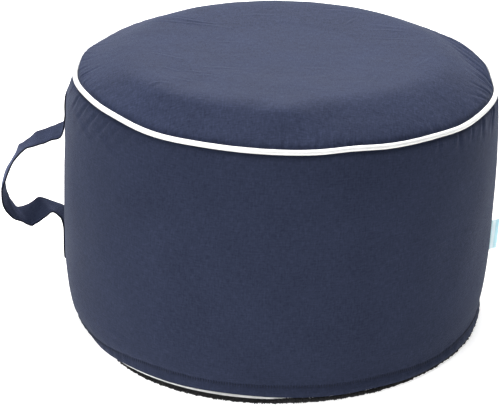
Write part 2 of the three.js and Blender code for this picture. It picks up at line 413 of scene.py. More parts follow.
def paintNavy(tree, finish):
    place = clothPlace(tree)
    height, over = threadPattern(tree, place, finish["threadPitch"], 0.0012)
    mottle = noiseOn(tree, place, 16.0, detail=4.0)
    weft = noiseOn(tree, place, 1.0, (120.0, 560.0, 1.0), 2.0)
    warp = noiseOn(tree, place, 1.0, (560.0, 120.0, 1.0), 2.0)
    grain = noiseOn(tree, place, 430.0, detail=2.0)
    woven = addMath(tree, "ADD", weft, warp)
    mixed = mixOf(tree, -0.62, (mottle, 0.45), (woven, 0.70), (grain, 0.60), (over, 0.08), (height, 0.14))
    shades = ((0.40, "dark"), (0.70, "middle"), (1.00, "light"))
    stops = [(at, tuple(finish["tone"] * part for part in finish[shade])) for at, shade in shades]
    colour = rampColour(tree, mixed, *stops)
    if finish["edgeDyeAndShadeEvery"]:
        # painted shade: turned edges are drawn darker than the faces, partly the dye of the fold and partly
        # the shade along it
        side = outOf(tree, "ShaderNodeSeparateXYZ", {0: place})
        fromEdge = addMath(tree, "PINGPONG", side, finish["edgeDyeAndShadeEvery"] / 2.0)
        shade = smoothRange(tree, fromEdge, 0.0005, 0.0016, 0.25, 1.0)
        colour = vectorMath(tree, "SCALE", {0: colour, "Scale": shade})
    crumple = noiseOn(tree, place, 55.0, (1.0, 1.6, 1.0), 3.0)
    under = addBump(tree, crumple, finish["crumple"], 0.0016)
    under = addBump(tree, woven, 0.35, 0.0004, under)
    return {
        "Base Color": colour,
        "Roughness": mixOf(tree, 0.66, (mottle, 0.16)),
        "Normal": addBump(tree, height, 0.45, 0.00016, under),
        "Specular IOR Level": finish["gloss"],
        "Sheen Weight": finish["sheen"],
        "Sheen Roughness": finish["sheenRoughness"],
        "Sheen Tint": finish["sheenTint"],
    }


pipingFinish = {
    "twillPitch": 0.0011,
    "twillSlant": 1.3,
    "ringRadius": 0.2535,
    "dark": (0.70, 0.70, 0.69),
    "light": (0.88, 0.88, 0.87),
}


def paintPiping(tree, finish):
    place = objectPlace(tree)
    parts = addNode(tree, "ShaderNodeSeparateXYZ", {0: place}).outputs
    turn = addMath(tree, "ARCTAN2", parts[1], parts[0])
    along = addMath(tree, "MULTIPLY", turn, finish["ringRadius"])
    slanted = addMath(tree, "MULTIPLY_ADD", parts[2], finish["twillSlant"], along)
    raised = ribPattern(tree, slanted, finish["twillPitch"])
    soil = noiseOn(tree, place, 34.0, detail=4.0)
    mixed = mixOf(tree, 0.0, (raised, 0.25), (soil, 0.8))
    pucker = noiseOn(tree, place, 240.0, detail=2.0)
    under = addBump(tree, pucker, 0.25, 0.0006)
    return {
        "Base Color": rampColour(tree, mixed, (0.25, finish["dark"]), (0.62, finish["light"])),
        "Roughness": mixOf(tree, 0.62, (soil, 0.2)),
        "Normal": addBump(tree, raised, 0.4, 0.00012, under),
        "Sheen Weight": 0.15,
    }


baseFinish = {
    "threadPitch": 0.0013,
    "dark": (0.006, 0.006, 0.007),
    "light": (0.022, 0.022, 0.024),
}


def paintBlack(tree, finish):
    place = objectPlace(tree)
    height, over = threadPattern(tree, place, finish["threadPitch"], 0.0015)
    dust = noiseOn(tree, place, 60.0, detail=5.0)
    lint = noiseOn(tree, place, 900.0, detail=1.0)
    mixed = mixOf(tree, 0.0, (height, 0.35), (dust, 0.6), (lint, 0.25), (over, 0.08))
    under = addBump(tree, lint, 0.4, 0.0006)
    return {
        "Base Color": rampColour(tree, mixed, (0.3, finish["dark"]), (0.9, finish["light"])),
        "Roughness": mixOf(tree, 0.72, (dust, 0.2)),
        "Normal": addBump(tree, height, 0.6, 0.0004, under),
        "Sheen Weight": 0.1,
        "Specular IOR Level": 0.25,
    }


tagFinish = {
    "ribPitch": 0.0009,
    "edge": (0.45, 0.71, 0.81),
    "middle": (0.70, 0.86, 0.94),
    "stripeAt": 0.0075,
    "stripeWidth": 0.0026,
}


def paintTag(tree, finish):
    place = clothPlace(tree)
    parts = addNode(tree, "ShaderNodeSeparateXYZ", {0: place}).outputs
    away = addMath(tree, "ABSOLUTE", addMath(tree, "SUBTRACT", parts[0], finish["stripeAt"]))
    stripe = smoothRange(tree, away, finish["stripeWidth"], 0.4 * finish["stripeWidth"])
    raised = ribPattern(tree, parts[1], finish["ribPitch"])
    fade = noiseOn(tree, place, 220.0, detail=3.0)
    mixed = mixOf(tree, 0.0, (stripe, 0.6), (fade, 0.25), (raised, 0.12))
    # thin tape lets some of the light behind it through
    return {
        "Base Color": rampColour(tree, mixed, (0.1, finish["edge"]), (0.85, finish["middle"])),
        "Roughness": mixOf(tree, 0.5, (fade, 0.2)),
        "Normal": addBump(tree, raised, 0.35, 0.00012),
        "Specular IOR Level": 0.2,
        "Subsurface Weight": 1.0,
        "Subsurface Radius": (1.0, 1.0, 1.0),
        "Subsurface Scale": 0.005,
    }


def paintThread(tree, dark, light):
    twist = noiseOn(tree, objectPlace(tree), 1500.0, detail=2.0)
    return {
        "Base Color": rampColour(tree, twist, (0.35, dark), (0.65, light)),
        "Roughness": mixOf(tree, 0.42, (twist, 0.25)),
        "Normal": addBump(tree, twist, 0.4, 0.0002),
        "Specular IOR Level": 0.12,
    }


navyCloth = makeMaterial("navyCloth", paintNavy, navyFinish)
topCloth = makeMaterial("topCloth", paintNavy, topFinish)
strapCloth = makeMaterial("strapCloth", paintNavy, strapFinish)
whitePiping = makeMaterial("whitePiping", paintPiping, pipingFinish)
blackCloth = makeMaterial("blackCloth", paintBlack, baseFinish)
tagTape = makeMaterial("tagTape", paintTag, tagFinish)
navyThread = makeMaterial("navyThread", paintThread, (0.022, 0.027, 0.052), (0.045, 0.054, 0.095))
# painted shade: the hem thread is drawn darker than the cloth, its own colour plus the shade of the sewn
# groove it lies in
hemThreadAndShade = makeMaterial("hemThreadAndShade", paintThread, (0.008, 0.012, 0.028), (0.015, 0.021, 0.046))
blackFibre = makeMaterial("blackFibre", paintThread, (0.006, 0.006, 0.007), (0.03, 0.03, 0.033))
print("materials made")

# Top panel: crowned by the air, with a shallow sunken middle, gathered into the seam
topPanel = {
    # radius and rise above the seam, from under the piping to the middle
    "profile": [
        (250.3, -0.6), (249.4, 1.2), (248.7, 3), (247.9, 4.9), (245.6, 7.2), (239.6, 10.9), (229.4, 15.8),
        (215.5, 21.4), (208.5, 24.2), (201.5, 27), (194.5, 29.6), (186.5, 31.8), (178.5, 33), (172, 33.4),
        (160, 33.1), (140, 31.9), (115, 30.3), (102, 29.5), (95, 28.9), (66, 28.1), (25, 27.7), (4, 27.7),
    ],
    # angle, spread, distance from the seam, spread, rise: where the crown stands fuller or flatter
    "swells": [
        (165, 14, 30, 24, -1), (135, 30, 32, 26, -1.2), (112, 16, 30, 24, -1), (45, 24, 28, 24, -1.4),
        (8, 12, 26, 22, -3.4), (357, 10, 8, 6, -3.2), (174, 9, 9, 8, 3), (159, 7, 12, 12, -1.2),
        (25, 7, 14, 12, 1.2),
    ],
    # angle, distance, spread: how far the crown's edge is drawn in, and between which distances from the seam
    "insets": [(177, -1.3, 8)],
    "insetZone": (0.0, 4.0, 12.0, 45.0),
    # angle, distance, spread: how much further out the flat top reaches, between which radii, and at most
    "fuller": [(233, 21, 33), (270, 17, 7), (330, 6, 22)],
    "fullerZone": (120.0, 165.0, 205.0, 243.0),
    "fullerMost": 249.9,
    # points round each zone, its start and end from the seam, and how far apart its rings are
    "zones": [
        (1440, 0, 56, 1.7), (720, 56, 140, 2.2), (360, 140, 200, 3), (180, 200, 236, 4), (90, 236, 252, 6),
    ],
    # angle at the seam, reach, slant over the reach, dip, width
    "folds": [
        (1, 54, 40, 4.4, 4), (358, 60, 31, 5.4, 4), (355, 60, 21, 5.4, 3.8), (352, 54, 12, 4.4, 3.4),
        (348.8, 46, 4, 3.4, 3), (345.2, 38, -3, 2.7, 2.6), (341, 32, -7, 1.9, 2.4), (336, 28, -5, 0.9, 2.4),
        (359.2, 56, 34, 1.5, 1.5), (356.2, 60, 25, 1.7, 1.5), (353, 56, 15, 1.6, 1.5),
        (349.6, 46, 5, 1.2, 1.4), (9, 52, 26, 1.6, 3.4), (17, 50, 14, 1.3, 3.4), (24, 48, 9, 1.2, 3.4),
        (258.5, 34, -1, 1.1, 3.2), (262.5, 38, -1, 1.2, 3), (266, 36, 0, 1, 2.8), (270, 42, 0, 1.9, 3),
        (274.5, 34, 0, 1.1, 2.8), (278.3, 38, 1, 1.8, 3), (281.2, 56, 2, 1, 3.2), (284.6, 36, 2, 1.8, 2.8),
        (290.8, 40, 3, 0.9, 3.4), (193, 42, 1, 1.8, 2.4), (187.5, 34, 2, 0.7, 3), (181, 46, 3, 0.6, 3.6),
        (199.5, 30, -1, 0.7, 2.6), (206, 36, -3, 0.5, 3),
    ],
    # start and end angle, count, reach, slant, dip, width
    "scattered": [
        (30, 178, 22, 46, 4, 1.1, 3.2), (210, 256, 7, 30, -1, 0.5, 3.4), (296, 334, 6, 30, 2, 0.5, 3.4),
    ],
    "seed": 11,
    # x, y to x, y, height, width
    "creases": [
        (-176, 88, -74, 74, 0.85, 2.6), (-166, 98, -86, 86, 0.7, 2.4), (-143, -84, -124, -98, 0.65, 2.2),
        (-130, -93, -96, -96, 0.6, 2.2), (-127, -124, -102, -130, 0.55, 2.2),
        (-149, -137, -130, -142, 0.5, 2.2), (-98, -76, -40, -72, 0.42, 2.6), (104, 78, 158, 68, 0.5, 2.4),
        (100, 50, 150, 40, 0.4, 2.4), (97, -128, 107, -82, 0.5, 2.6), (40, 150, 104, 138, 0.5, 2.6),
        (-20, 190, 40, 176, 0.5, 2.8), (150, -60, 176, -20, 0.45, 2.6), (-60, 120, -10, 128, 0.4, 2.6),
        (-84, 20, -52, 26, 0.35, 2.4), (20, -60, 58, -66, 0.35, 2.4), (70, 96, 92, 120, 0.4, 2.4),
        (112, 92, 152, 82, 0.45, 2.4), (-160, -40, -120, -52, 0.4, 2.4), (-112, -104, -84, -107, 0.45, 2.2),
    ],
}


# Radius of the crown's ring at a distance in from the seam, and its height at each angle
def crownRing(table, angle, inward):
    radius, rise = pathAt(np.array(table["profile"]), inward)
    share = radius / cover["seamRadius"]
    x, y = roundAxis(angle, radius)
    # the profile from the middle out, without its two rows under the piping
    inner = np.array(table["profile"])[:1:-1]
    reach = bumps(table["fuller"], angle) * between(radius, *table["fullerZone"])
    flat = curveThrough(inner[:, 0], inner[:, 1], np.clip(radius - reach, inner[0, 0], table["fullerMost"]))
    rise = np.where(reach > 0.01, flat, rise)
    rise = rise + swellAt(table["swells"], angle, inward) * ramp(inward, 0.0, 8.0)
    wave = bumps(cover["seamWaves"], angle) * share**6
    loose = creaseLift(table["creases"], x, y) + uneven(5, angle, inward, 0.5) * ramp(inward, 8, 60) * share
    height = cover["seamHeight"] + rise + wave - cover["topTilt"] * x + loose
    return radius, height - foldDepth(table["folds"], angle, inward, radius)


def makeTopPanel(table, gathers):
    addScattered(table)
    sections = []
    for count, start, end, step in table["zones"]:
        angle = anglesRound(count)
        for inward in np.arange(start, end, step):
            radius, height = crownRing(table, angle, inward)
            out, up = gathersAt(gathers, inward, count)
            out -= bumps(table["insets"], angle) * between(inward, *table["insetZone"])
            out -= bumps(cover["seamPulls"], angle) * (1.0 - ramp(inward, 6.0, 40.0))
            x, y = roundAxis(angle, radius + out)
            sections.append((asRows(x + shiftAt(cover["seamHeight"]), y, height + up), asRows(x, y)))
    piece = skinPiece("topPanel", sections, topCloth)
    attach(piece, "root")
    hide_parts("top_panel")


# Side wall: one strip of cloth, its closing seam at the tag, turned up and sewn at the foot as a hem
sideWall = {
    # radius and height, from the inside of the hem up to the seam
    "profile": [
        (254.8, 11), (254.8, 5.6), (255.5, 4.9), (256.6, 5.1), (257.6, 7.2), (258.6, 12), (258.6, 15),
        (258.2, 17.2), (257.8, 19.2), (258.3, 21.4), (259.2, 24), (260.9, 34), (263.7, 60), (265.4, 95),
        (266, 135), (265.8, 175), (264.8, 215), (263, 243), (261, 264), (259.3, 278), (257.8, 289),
        (256.8, 297), (256, 301.2), (254.9, 303.7), (253, 305.6), (250.9, 306.8), (249.9, 309.6),
    ],
    "outside": slice(5, -3),  # the rows that show, from the hem up
    "sides": 720,
    "seamSides": 1440,
    "seamReach": 46.0,
    # up to this length of the profile, rings this far apart
    "rows": [(11.0, 1.1), (36.0, 1.5), (60.0, 2.6), (225.0, 4.8), (264.0, 3.2), (330.0, 1.8)],
    # angle, rise or drop, spread
    "hemLifts": [
        (231, 3.4, 15), (248, 1.2, 12), (262, 3.6, 13), (254, 1.3, 12), (278, 2.6, 12), (296, 2.8, 10),
    ],
    "hemDrops": [(192, 9.0, 22), (238, -2.4, 11), (275, -1.2, 9), (317, 2.4, 9)],
    # heights between which the moves of the wall come and go
    "liftFade": (22.0, 80.0),
    "tuckFade": (12.0, 50.0),
    "dropZone": (5.0, 19.0, 22.0, 75.0),
    "creaseZone": (26, 60, 285, 306),
    "unevenZone": (24, 70, 270, 306),
    "seamZone": (6, 12, 290, 304),
    "sewnAt": 19.2,
    "folds": [
        (193.5, 26, -4, 1.6, 2.6), (201.5, 34, -5, 2, 3), (208.6, 38, -7, 2.4, 3),
        (214.8, 42, -8, 2.6, 3.2), (220.6, 40, -8, 2.3, 3), (225.4, 36, -8, 2.2, 3), (230, 34, -7, 1.9, 3),
        (234.6, 32, -6, 1.5, 3), (242.7, 36, -3, 1.6, 3.2), (246.4, 36, -2, 1.2, 3),
        (253.9, 34, -2, 1.2, 3.2), (284.3, 34, -8, 1, 3), (306, 22, 0, 0.9, 2.8), (312, 26, 0, 1.9, 3),
        (320, 32, 0, 2.3, 3.8), (326.4, 26, -1, 1.7, 2.8), (332.6, 34, -1, 2.7, 3.8), (341.8, 40, -3, 4, 4),
        (348.6, 32, -3, 2.8, 3.8), (354, 30, -3, 1.6, 3),
    ],
    "foldsFrom": 3.0,  # below the seam
    "scattered": [(8, 172, 30, 36, -2, 1.1, 2.9), (256, 306, 6, 24, 0, 0.4, 3.2)],
    "seed": 23,
    # angle, height to angle, height, ridge, width
    "creases": [
        (304.5, 186, 332.5, 163, 0.35, 5), (196, 292, 214, 268, 0.5, 4), (206, 300, 230, 262, 0.4, 4.5),
        (40, 240, 66, 226, 0.5, 4.5), (96, 120, 124, 132, 0.4, 5), (140, 262, 160, 246, 0.5, 4),
        (20, 60, 44, 48, 0.5, 4.5), (218, 46, 236, 40, 0.4, 4), (292, 58, 318, 48, 0.35, 4.5),
    ],
    "seamAngle": 0.0,
    # angle, spread, height, spread, rise: where the wall bulges further out
    "swells": [
        (182, 27, 281, 22, 4.6), (182, 14, 244, 12, 1.6), (186, 20, 70, 26, 1.5), (352, 24, 95, 50, 1.1),
    ],
}


def wallPoints(table, angle, radius, height):
    climb = (height / cover["seamHeight"]) ** 4
    lift = bumps(table["hemLifts"], angle) * (1 - ramp(height, *table["liftFade"]))
    lift -= bumps(table["hemDrops"], angle) * between(height, *table["dropZone"])
    tuck = bumps(cover["footTucks"], angle) * (1 - ramp(height, *table["tuckFade"]))
    inward = np.maximum(cover["seamHeight"] - table["foldsFrom"] - height, 0.0)
    fold = foldDepth(table["folds"], angle, inward, radius)
    # creases run over the wall as lengths
    creases = [(wallArc(a), low, wallArc(b), high, *size) for a, low, b, high, *size in table["creases"]]
    loose = creaseLift(creases, wallArc(angle), height) * between(height, *table["creaseZone"])
    loose += uneven(3, angle, height, 0.7) * between(height, *table["unevenZone"])
    # the hem bunches up between its stitches
    bunch = np.sin(np.radians(angle * 97) + 2.0 * np.sin(np.radians(angle * 5))) * bell(height - 14.0, 9.0)
    bunch += 0.6 * np.sin(np.radians(angle * 61) + 1.0) * bell(height - 25.0, 8.0)
    # the closing seam is a groove between two soft ridges
    away = wallArc(turnFrom(angle, table["seamAngle"]))
    closing = 0.5 * bell(np.abs(away) - 5.0, 4.0) - 1.5 * bell(away, 1.3)
    closing *= between(height, *table["seamZone"])
    full = swellAt(table["swells"], angle, height)
    pull = bumps(cover["seamPulls"], angle) * ramp(height, 292.0, 305.0)
    reach = radius + tuck - pull - fold + full + ramp(height, 4.0, 8.0) * (loose + 0.32 * bunch + closing)
    x, y = roundAxis(angle, reach)
    return asRows(x + shiftAt(height), y, height + seamLift(angle) * climb + lift)


# Places on the outside of the wall, at one angle
def wallSurface(angle, heights):
    rows = np.array(sideWall["profile"])[sideWall["outside"]]
    radius = curveThrough(rows[:, 1], rows[:, 0], heights)
    return wallPoints(sideWall, np.full_like(heights, angle), radius, heights)


def makeSideWall(table, gathers):
    addScattered(table)
    rows = np.array(table["profile"])
    length = pathLengths(rows)[-1]
    stops = [0.0]
    for end, step in table["rows"]:
        while stops[-1] + step < min(end, length - 1.0):
            stops.append(stops[-1] + step)
    stops.append(length)
    sections = []
    for distance in stops:
        radius, height = pathAt(rows, distance)
        angle = anglesRound(table["seamSides"] if distance > length - table["seamReach"] else table["sides"])
        out, up = gathersAt(gathers, distance - length, len(angle))
        ring = wallPoints(table, angle, radius + out, height)
        ring[:, 2] += up
        sections.append((ring, asRows(wallArc(angle), distance)))
    piece = skinPiece("sideWall", sections, navyCloth, (wallArc(360.0), 0.0))
    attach(piece, "root")
    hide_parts("side_wall")


# Gathers: cloth simulation of the cover on both sides of the seam. The cloth there is longer than the seam
# that holds it, so it buckles under the pressure of the air. Only these waves are kept: the tables above give
# the shape.
gathering = {
    "columns": 480,
    # distance from the seam, down the wall and in over the crown, with the seam's own row held
    "rows": [
        *range(-96, -60, 6), *range(-60, -30, 4), *range(-30, 30, 3), *range(30, 60, 4), *range(60, 121, 6),
    ],
    "fullReach": (26.0, 84.0),
    "frames": 13,
    "scale": 10.0,  # the solver is steadier on a larger piece
    "cloth": {
        "quality": 6,
        "mass": 0.3,
        "tension_stiffness": 40.0,
        "compression_stiffness": 40.0,
        "shear_stiffness": 12.0,
        "bending_stiffness": 0.6,
        "air_damping": 2.0,
        "use_pressure": True,
        "uniform_pressure_force": 2.0,
        "vertex_group_mass": "held",
        "shrink_min": 0.0,
        "shrink_max": -0.06,  # longer by this share
        "vertex_group_shrink": "full",
    },
    "slowest": 20,  # fewest and most waves round the seam that are kept
    "fastest": 118,
    "strength": 1.3,
    "most": 1.8,
    "fade": (48.0, 96.0),
}


# Smooth cover near the seam, without its folds and creases
def coverRows(places, columns):
    angle = anglesRound(columns)
    crown = {**topPanel, "folds": [], "creases": []}
    wall = {**sideWall, "folds": [], "creases": []}
    grid = []
    for place in places:
        if place < 0:
            radius, height = pathAt(np.array(wall["profile"])[::-1], -place)
            grid.append(wallPoints(wall, angle, radius, height))
        else:
            radius, height = crownRing(crown, angle, place)
            x, y = roundAxis(angle, radius)
            grid.append(asRows(x + shiftAt(cover["seamHeight"]), y, height))
    return np.array(grid)


def simulateGathers(table):
    places = np.array(table["rows"], float)
    columns = table["columns"]
    grid = coverRows(places, columns)
    size = table["scale"] * mm
    spots = np.arange(len(places) * columns).reshape(-1, columns)
    far = np.roll(spots, -1, axis=1)
    faces = np.stack([spots[:-1], far[:-1], far[1:], spots[1:]], axis=-1)
    mesh = bpy.data.meshes.new("gatherTrial")
    mesh.from_pydata((grid.reshape(-1, 3) * size).tolist(), [], faces.reshape(-1, 4).tolist())
    trial = addPiece("gatherTrial", mesh)
    held = trial.vertex_groups.new(name="held")
    full = trial.vertex_groups.new(name="full")
    for row, place in enumerate(places):
        members = spots[row].tolist()
        if row in (0, len(places) - 1) or place == 0:
            held.add(members, 1.0, "REPLACE")
        full.add(members, float(1.0 - ramp(abs(place), *table["fullReach"])), "REPLACE")
    cloth = trial.modifiers.new("gatherCloth", "CLOTH")
    for name, value in table["cloth"].items():
        setattr(cloth.settings, name, value)
    cloth.settings.effector_weights.gravity = 0.0
    cloth.collision_settings.use_collision = False
    cloth.point_cache.frame_start = 1
    cloth.point_cache.frame_end = table["frames"]
    for step in range(1, table["frames"] + 1):
        scene.frame_set(step)
    settled = trial.evaluated_get(bpy.context.evaluated_depsgraph_get()).to_mesh()
    ended = np.empty(grid.size, dtype=np.float32)
    settled.vertices.foreach_get("co", ended)
    moves = ended.reshape(grid.shape) / size - grid
    scene.frame_set(1)
    bpy.data.objects.remove(trial)
    turn = np.radians(anglesRound(columns))
    out = moves[..., 0] * np.cos(turn) + moves[..., 1] * np.sin(turn)
    waves = np.fft.rfft(np.stack([out, moves[..., 2]]), axis=2)
    waves[..., : table["slowest"]] = 0.0
    waves[..., table["fastest"] :] = 0.0
    print("gathers simulated: largest", round(float(np.abs(np.fft.irfft(waves, n=columns)).max()), 2), "mm")
    return {"places": places, "waves": waves}


# How far the gathers move a ring out and up, at a distance from the seam
def gathersAt(gathers, place, count):
    if gathers is None or abs(place) >= gathering["fade"][1]:
        return np.zeros(count), np.zeros(count)
    places = gathers["places"]
    row = int(np.clip(np.searchsorted(places, place) - 1, 0, len(places) - 2))
    share = (place - places[row]) / (places[row + 1] - places[row])
    waves = gathers["waves"][:, row] * (1.0 - share) + gathers["waves"][:, row + 1] * share
    moves = np.fft.irfft(waves, n=count) * count / gathering["columns"]
    moves *= gathering["strength"] * (1.0 - ramp(abs(place), *gathering["fade"]))
    return np.clip(moves, -gathering["most"], gathering["most"])


gathers = simulateGathers(gathering)
makeTopPanel(topPanel, gathers)
print("top panel made")
makeSideWall(sideWall, gathers)
print("side wall made")


# Geometry Nodes: thread and cord that follow a path, and fibres on a cloth edge
def newTree(name, sizes):
    tree = bpy.data.node_groups.new(name, "GeometryNodeTree")
    for label, kind in {"Geometry": "Geometry", **sizes, "Material": "Material"}.items():
        tree.interface.new_socket(label, in_out="INPUT", socket_type="NodeSocket" + kind)
    tree.interface.new_socket("Geometry", in_out="OUTPUT", socket_type="NodeSocketGeometry")
    return tree, addNode(tree, "NodeGroupInput").outputs


def finishTree(tree, inputs, made):
    real = outOf(tree, "GeometryNodeRealizeInstances", {"Geometry": made})
    smooth = outOf(tree, "GeometryNodeSetShadeSmooth", {"Geometry": real})
    painted = outOf(tree, "GeometryNodeSetMaterial", {"Geometry": smooth, "Material": inputs["Material"]})
    addNode(tree, "NodeGroupOutput", {"Geometry": painted})
    return tree


def spacedAlong(tree, path, length):
    return outOf(tree, "GeometryNodeResampleCurve", {"Curve": path, "Length": length}, mode="LENGTH")


# One bead of thread for each stitch, laid along the path
def stitchTree():
    labels = ("Pitch", "Length", "Thickness", "Height")
    tree, inputs = newTree("stitchRow", dict.fromkeys(labels, "Float"))
    tangent = outOf(tree, "GeometryNodeInputTangent")
    bead = outOf(tree, "GeometryNodeMeshUVSphere", {"Segments": 6, "Rings": 5, "Radius": 0.5})
    size = outOf(tree, "ShaderNodeCombineXYZ", {axis: inputs[label] for axis, label in enumerate(labels[1:])})
    placed = outOf(tree, "GeometryNodeInstanceOnPoints", {
        "Points": spacedAlong(tree, inputs["Geometry"], inputs["Pitch"]),
        "Instance": outOf(tree, "GeometryNodeTransform", {"Geometry": bead, "Scale": size}),
        "Rotation": outOf(tree, "FunctionNodeAlignRotationToVector", {"Vector": tangent}, axis="X"),
    })
    return finishTree(tree, inputs, placed)


# Covered cord: a round section on the path, a little uneven where the strip is gathered round it
def cordTree():
    labels = ("Diameter", "Spacing", "Unevenness", "Seed")
    tree, inputs = newTree("pipingCord", dict.fromkeys(labels, "Float"))
    spots = spacedAlong(tree, inputs["Geometry"], inputs["Spacing"])
    values = {"W": inputs["Seed"], "Scale": 70.0, "Detail": 2.0}
    noise = outOf(tree, "ShaderNodeTexNoise", values, noise_dimensions="4D")
    scale = addMath(tree, "MULTIPLY_ADD", addMath(tree, "SUBTRACT", noise, 0.5), inputs["Unevenness"], 1.0)
    half = addMath(tree, "MULTIPLY", inputs["Diameter"], 0.5)
    swept = outOf(tree, "GeometryNodeCurveToMesh", {
        "Curve": outOf(tree, "GeometryNodeSetCurveRadius", {"Curve": spots, "Radius": scale}),
        "Profile Curve": outOf(tree, "GeometryNodeCurvePrimitiveCircle", {"Resolution": 14, "Radius": half}),
        "Scale": outOf(tree, "GeometryNodeInputRadius"),
        "Fill Caps": True,
    })
    return finishTree(tree, inputs, swept)


# Short loose fibres that stand off a worn cloth edge
def fibreTree():
    sizes = {"Density": "Float", "Length": "Float", "Thickness": "Float", "Seed": "Int"}
    tree, inputs = newTree("edgeFibres", sizes)

    def randomVector(low, high):
        values = {"Min": low, "Max": high, "Seed": inputs["Seed"]}
        return outOf(tree, "FunctionNodeRandomValue", values, data_type="FLOAT_VECTOR")

    values = {"Mesh": inputs["Geometry"], "Density": inputs["Density"], "Seed": inputs["Seed"]}
    spots = addNode(tree, "GeometryNodeDistributePointsOnFaces", values).outputs
    fibre = outOf(tree, "GeometryNodeMeshCone", {
        "Vertices": 3,
        "Side Segments": 2,
        "Fill Segments": 1,
        "Radius Top": 0.0,
        "Radius Bottom": inputs["Thickness"],
        "Depth": inputs["Length"],
    }, "Mesh")
    tilt = {0: spots["Rotation"], 1: randomVector((-0.9, -0.9, 0.0), (0.9, 0.9, 6.28))}
    placed = outOf(tree, "GeometryNodeInstanceOnPoints", {
        "Points": spots["Points"],
        "Instance": fibre,
        "Rotation": outOf(tree, "FunctionNodeRotateRotation", tilt, rotation_space="LOCAL"),
        "Scale": randomVector((0.7, 0.7, 0.4), (1.2, 1.2, 1.3)),
    })
    return finishTree(tree, inputs, placed)


# Runs a tree on a source object and keeps the result as a plain mesh
def growPiece(name, source, tree, values):
    modifier = source.modifiers.new(name, "NODES")
    modifier.node_group = tree
    for item in tree.interface.items_tree:
        if item.in_out == "INPUT" and item.name in values:
            modifier[item.identifier] = values[item.name]
    source.update_tag()
    graph = bpy.context.evaluated_depsgraph_get()
    mesh = bpy.data.meshes.new_from_object(source.evaluated_get(graph))
    mesh.name = name
    source.modifiers.remove(modifier)
    bpy.data.objects.remove(source)
    return addPiece(name, mesh)


# Curve object with one straight-stepped spline for each run of points
def addPaths(runs, closed=False):
    data = bpy.data.curves.new("path", "CURVE")
    data.dimensions = "3D"
    for run in runs:
        spline = data.splines.new("POLY")
        spline.points.add(len(run) - 1)
        places = np.concatenate([np.asarray(run) * mm, np.ones((len(run), 1))], axis=1)
        spline.points.foreach_set("co", places.ravel())
        spline.use_cyclic_u = closed
    return addPiece("path", data)


stitchRows = stitchTree()
pipingCords = cordTree()
edgeFibres = fibreTree()

# Top piping: a cord in a white bias strip, its two ends butted at the back
topPiping = {
    "joinAt": 97.0,
    "points": 1001,
    # of the cord's tree, in metres
    "inputs": {
        "Diameter": 0.006, "Spacing": 0.0016, "Unevenness": 0.16, "Seed": 3.0, "Material": whitePiping,
    },
}


def makeTopPiping(table):
    angle = table["joinAt"] + np.linspace(0.0, 360.0, table["points"])
    x, y = roundAxis(angle, cover["seamRadius"] - bumps(cover["seamPulls"], angle))
    run = asRows(x + shiftAt(cover["seamHeight"]), y, cover["seamHeight"] + seamLift(angle))
    piece = growPiece("topPiping", addPaths([run]), pipingCords, table["inputs"])
    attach(piece, "root")
    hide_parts("top_piping")


makeTopPiping(topPiping)

# Base piping, mostly hidden by the hem
basePiping = {
    "radius": 252.0,
    "height": 7.6,
    "standsOut": [(244, 1.2, 30)],
    "joinAt": 80.0,
    "points": 801,
    "inputs": {**topPiping["inputs"], "Diameter": 0.005, "Spacing": 0.002, "Seed": 9.0},
}


def makeBasePiping(table):
    angle = table["joinAt"] + np.linspace(0.0, 360.0, table["points"])
    radius = table["radius"] + bumps(cover["footTucks"], angle) + bumps(table["standsOut"], angle)
    run = asRows(*roundAxis(angle, radius), table["height"])
    piece = growPiece("basePiping", addPaths([run]), pipingCords, table["inputs"])
    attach(piece, "root")
    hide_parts("base_piping")


makeBasePiping(basePiping)
print("piping made")

# Hem stitches, in the sewn line above the hem, in thread drawn darker with painted shade of that line
hemStitches = {
    "radius": 257.8,
    "points": 900,
    "inputs": {
        "Pitch": 0.0032, "Length": 0.0017, "Thickness": 0.0015, "Height": 0.0095, "Material": hemThreadAndShade,
    },
}


def makeHemStitches(table):
    run = wallPoints(sideWall, anglesRound(table["points"]), table["radius"], sideWall["sewnAt"])
    piece = growPiece("hemStitches", addPaths([run], True), stitchRows, table["inputs"])
    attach(piece, "root")


makeHemStitches(hemStitches)
print("hem stitched")

# Black base: a disc of heavier cloth, its turned edge a little ragged
basePanel = {
    "radius": 255.6,
    "sides": 2880,
    # height, inset from the radius
    "edge": [
        (0, 120), (0, 40), (0, 8), (0.05, 4.4), (0.35, 2.2), (0.9, 0.8), (1.7, 0.1), (2.6, 0), (3.5, 0.4),
        (4.2, 1.2), (4.8, 3),
    ],
    "fuzzy": slice(6, 10),  # the rows of the edge that fibres stand on
    "plugRadius": 249.2,
    "plugTop": 10.7,
    "tucks": [(208, -9.0, 18), (250, 2.9, 30)],
    # angle, rise, spread: where the base is turned up over the piping
    "turnUps": [(274.5, 3.6, 6.0), (287, 2.8, 10), (308, 2.6, 18)],
    # how ragged the edge is, out and up, and its waves round the base
    "ragged": 0.8,
    "raggedUp": 0.3,
    "raggedTurns": (67, 139, 229, 397, 541, 577, 611),
    "seed": 31,
    "fibres": {"Density": 9e5, "Length": 0.0011, "Thickness": 0.00009, "Seed": 5, "Material": blackFibre},
}


